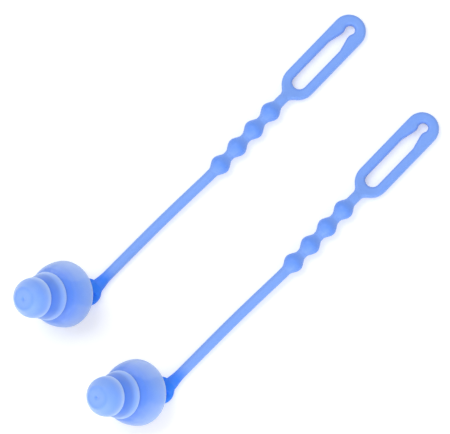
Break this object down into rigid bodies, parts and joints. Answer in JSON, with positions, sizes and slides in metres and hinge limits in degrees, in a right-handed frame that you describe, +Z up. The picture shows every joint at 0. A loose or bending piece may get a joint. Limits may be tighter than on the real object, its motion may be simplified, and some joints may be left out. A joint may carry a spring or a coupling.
{
  "type": "flanged ear plugs on leashes",
  "caption": "Soft three-flange ear plugs, each on a moulded leash with beads and a keyhole loop that closes round a goggle strap.",
  "frame": {"origin": "on the floor, under the middle of the box round both plugs, their tips and stems, without the leashes", "axes": "+Z up from the surface that the pair lies on, the leashes run towards +X +Y, the noses lean towards -X"},
  "size_m": [0.0851, 0.0851, 0.0171],
  "materials": {
    "tip_silicone": "satin, soft translucent silicone, paler at the thin rims",
    "stem_silicone": "satin, thick deep blue silicone",
    "leash_silicone": "satin, soft translucent silicone"
  },
  "bodies": {
    "stem_left": {"stem_left": "stem_silicone"},
    "ear_tip_left": {"ear_tip_left": "tip_silicone"},
    "strap_left": {"strap_left": "leash_silicone"},
    "bead_1_left": {"bead_1_left": "leash_silicone"},
    "bead_2_left": {"bead_2_left": "leash_silicone"},
    "bead_3_left": {"bead_3_left": "leash_silicone"},
    "bead_4_left": {"bead_4_left": "leash_silicone"},
    "loop_left": {"loop_left": "leash_silicone"},
    "stem_right": {"stem_right": "stem_silicone"},
    "ear_tip_right": {"ear_tip_right": "tip_silicone"},
    "strap_right": {"strap_right": "leash_silicone"},
    "bead_1_right": {"bead_1_right": "leash_silicone"},
    "bead_2_right": {"bead_2_right": "leash_silicone"},
    "bead_3_right": {"bead_3_right": "leash_silicone"},
    "bead_4_right": {"bead_4_right": "leash_silicone"},
    "loop_right": {"loop_right": "leash_silicone"}
  },
  "joints": [
    {"name": "tip_pull_left", "type": "slide", "parent": "stem_left", "child": "ear_tip_left", "axis": [-0.5843, -0.248, 0.7727], "range_m": [0, 0.012]},
    {"name": "strap_root_bend_left", "type": "hinge", "parent": "stem_left", "child": "strap_left", "pos_m": [0.00139, 0.0138, 0.00105], "axis": [0.72, -0.694, 0], "range_deg": [-55, 55], "stiffness_Nm_per_rad": 0.0008},
    {"name": "neck_bend_1_left", "type": "hinge", "parent": "strap_left", "child": "bead_1_left", "pos_m": [0.02322, 0.03549, 0.00195], "axis": [0.7361, -0.6769, 0], "range_deg": [-55, 55], "stiffness_Nm_per_rad": 0.0008},
    {"name": "neck_bend_2_left", "type": "hinge", "parent": "bead_1_left", "child": "bead_2_left", "pos_m": [0.02656, 0.03912, 0.00195], "axis": [0.5205, -0.4786, 0.7071], "range_deg": [-55, 55], "stiffness_Nm_per_rad": 0.0008},
    {"name": "neck_bend_3_left", "type": "hinge", "parent": "bead_2_left", "child": "bead_3_left", "pos_m": [0.02989, 0.04275, 0.00195], "axis": [0.7361, -0.6769, 0], "range_deg": [-55, 55], "stiffness_Nm_per_rad": 0.0008},
    {"name": "neck_bend_4_left", "type": "hinge", "parent": "bead_3_left", "child": "bead_4_left", "pos_m": [0.03323, 0.04638, 0.00195], "axis": [0.5205, -0.4786, -0.7071], "range_deg": [-55, 55], "stiffness_Nm_per_rad": 0.0008},
    {"name": "loop_bend_left", "type": "hinge", "parent": "bead_4_left", "child": "loop_left", "pos_m": [0.03657, 0.05001, 0.00195], "axis": [0.7278, -0.6858, 0], "range_deg": [-42, 55], "stiffness_Nm_per_rad": 0.0008},
    {"name": "tip_pull_right", "type": "slide", "parent": "stem_right", "child": "ear_tip_right", "axis": [-0.5843, -0.248, 0.7727], "range_m": [0, 0.012]},
    {"name": "strap_root_bend_right", "type": "hinge", "parent": "stem_right", "child": "strap_right", "pos_m": [0.01599, -0.0063, 0.00105], "axis": [0.72, -0.694, 0], "range_deg": [-55, 55], "stiffness_Nm_per_rad": 0.0008},
    {"name": "neck_bend_1_right", "type": "hinge", "parent": "strap_right", "child": "bead_1_right", "pos_m": [0.03782, 0.01539, 0.00195], "axis": [0.7361, -0.6769, 0], "range_deg": [-55, 55], "stiffness_Nm_per_rad": 0.0008},
    {"name": "neck_bend_2_right", "type": "hinge", "parent": "bead_1_right", "child": "bead_2_right", "pos_m": [0.04116, 0.01902, 0.00195], "axis": [0.5205, -0.4786, 0.7071], "range_deg": [-55, 55], "stiffness_Nm_per_rad": 0.0008},
    {"name": "neck_bend_3_right", "type": "hinge", "parent": "bead_2_right", "child": "bead_3_right", "pos_m": [0.04449, 0.02265, 0.00195], "axis": [0.7361, -0.6769, 0], "range_deg": [-55, 55], "stiffness_Nm_per_rad": 0.0008},
    {"name": "neck_bend_4_right", "type": "hinge", "parent": "bead_3_right", "child": "bead_4_right", "pos_m": [0.04783, 0.02628, 0.00195], "axis": [0.5205, -0.4786, -0.7071], "range_deg": [-55, 55], "stiffness_Nm_per_rad": 0.0008},
    {"name": "loop_bend_right", "type": "hinge", "parent": "bead_4_right", "child": "loop_right", "pos_m": [0.05117, 0.02991, 0.00195], "axis": [0.7278, -0.6858, 0], "range_deg": [-42, 55], "stiffness_Nm_per_rad": 0.0008},
    {"name": "pair_apart", "type": "slide", "parent": "stem_left", "child": "stem_right", "axis": [1, 0, 0], "range_m": [0, 0.1]}
  ]
}
